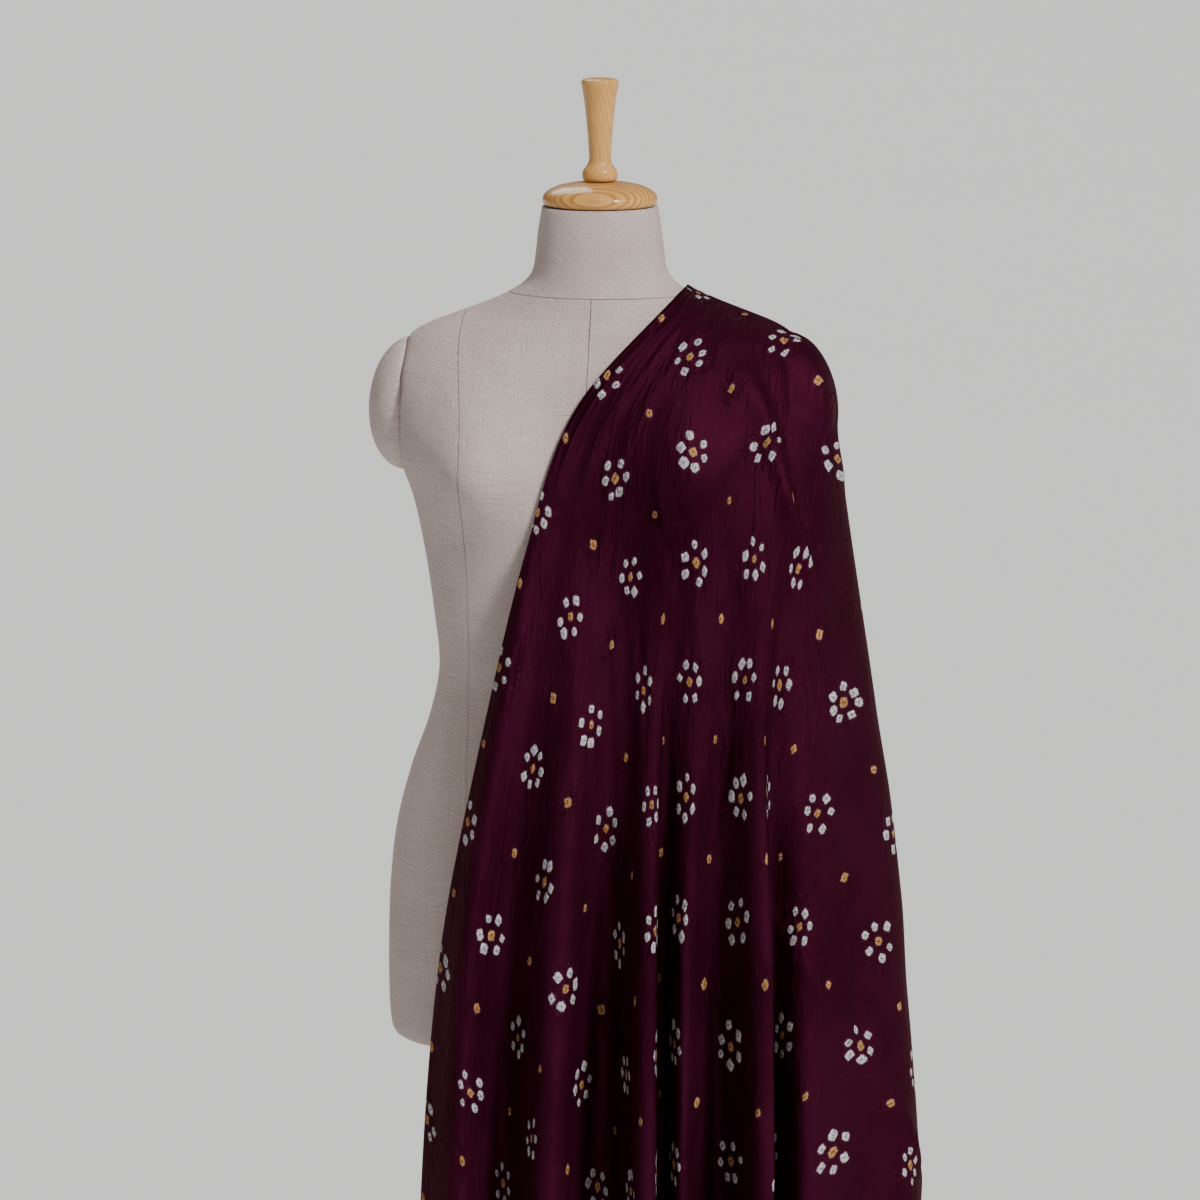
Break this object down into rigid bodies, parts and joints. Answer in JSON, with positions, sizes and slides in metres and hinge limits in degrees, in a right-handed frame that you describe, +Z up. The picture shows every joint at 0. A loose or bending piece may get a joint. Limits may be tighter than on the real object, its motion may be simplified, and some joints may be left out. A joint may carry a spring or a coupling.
{
  "type": "bandhani cloth on a dress form stand",
  "caption": "Deep wine tie-dyed bandhani cloth with white flowers and yellow dots, draped in soft folds over one shoulder of a linen dress form on a round wooden foot",
  "frame": {"origin": "on the floor at the middle of the wooden foot's underside, on the pole's axis", "axes": "+Z up, -Y the way the dress form faces, +X towards its left shoulder, which carries the cloth"},
  "size_m": [0.4896, 0.4282, 1.6006],
  "materials": {
    "dyed_cloth": "soft sheen, tie-dyed with white flowers and yellow dots",
    "linen": "plain slub linen, unbleached",
    "turned_wood": "satin to gloss varnish"
  },
  "bodies": {
    "root": {"cloth": "dyed_cloth", "torso": "linen", "arm_cap_left": "linen", "arm_cap_right": "linen", "neck_cap": "turned_wood", "neck_handle": "turned_wood", "pole": "turned_wood", "base": "turned_wood"}
  },
  "joints": []
}
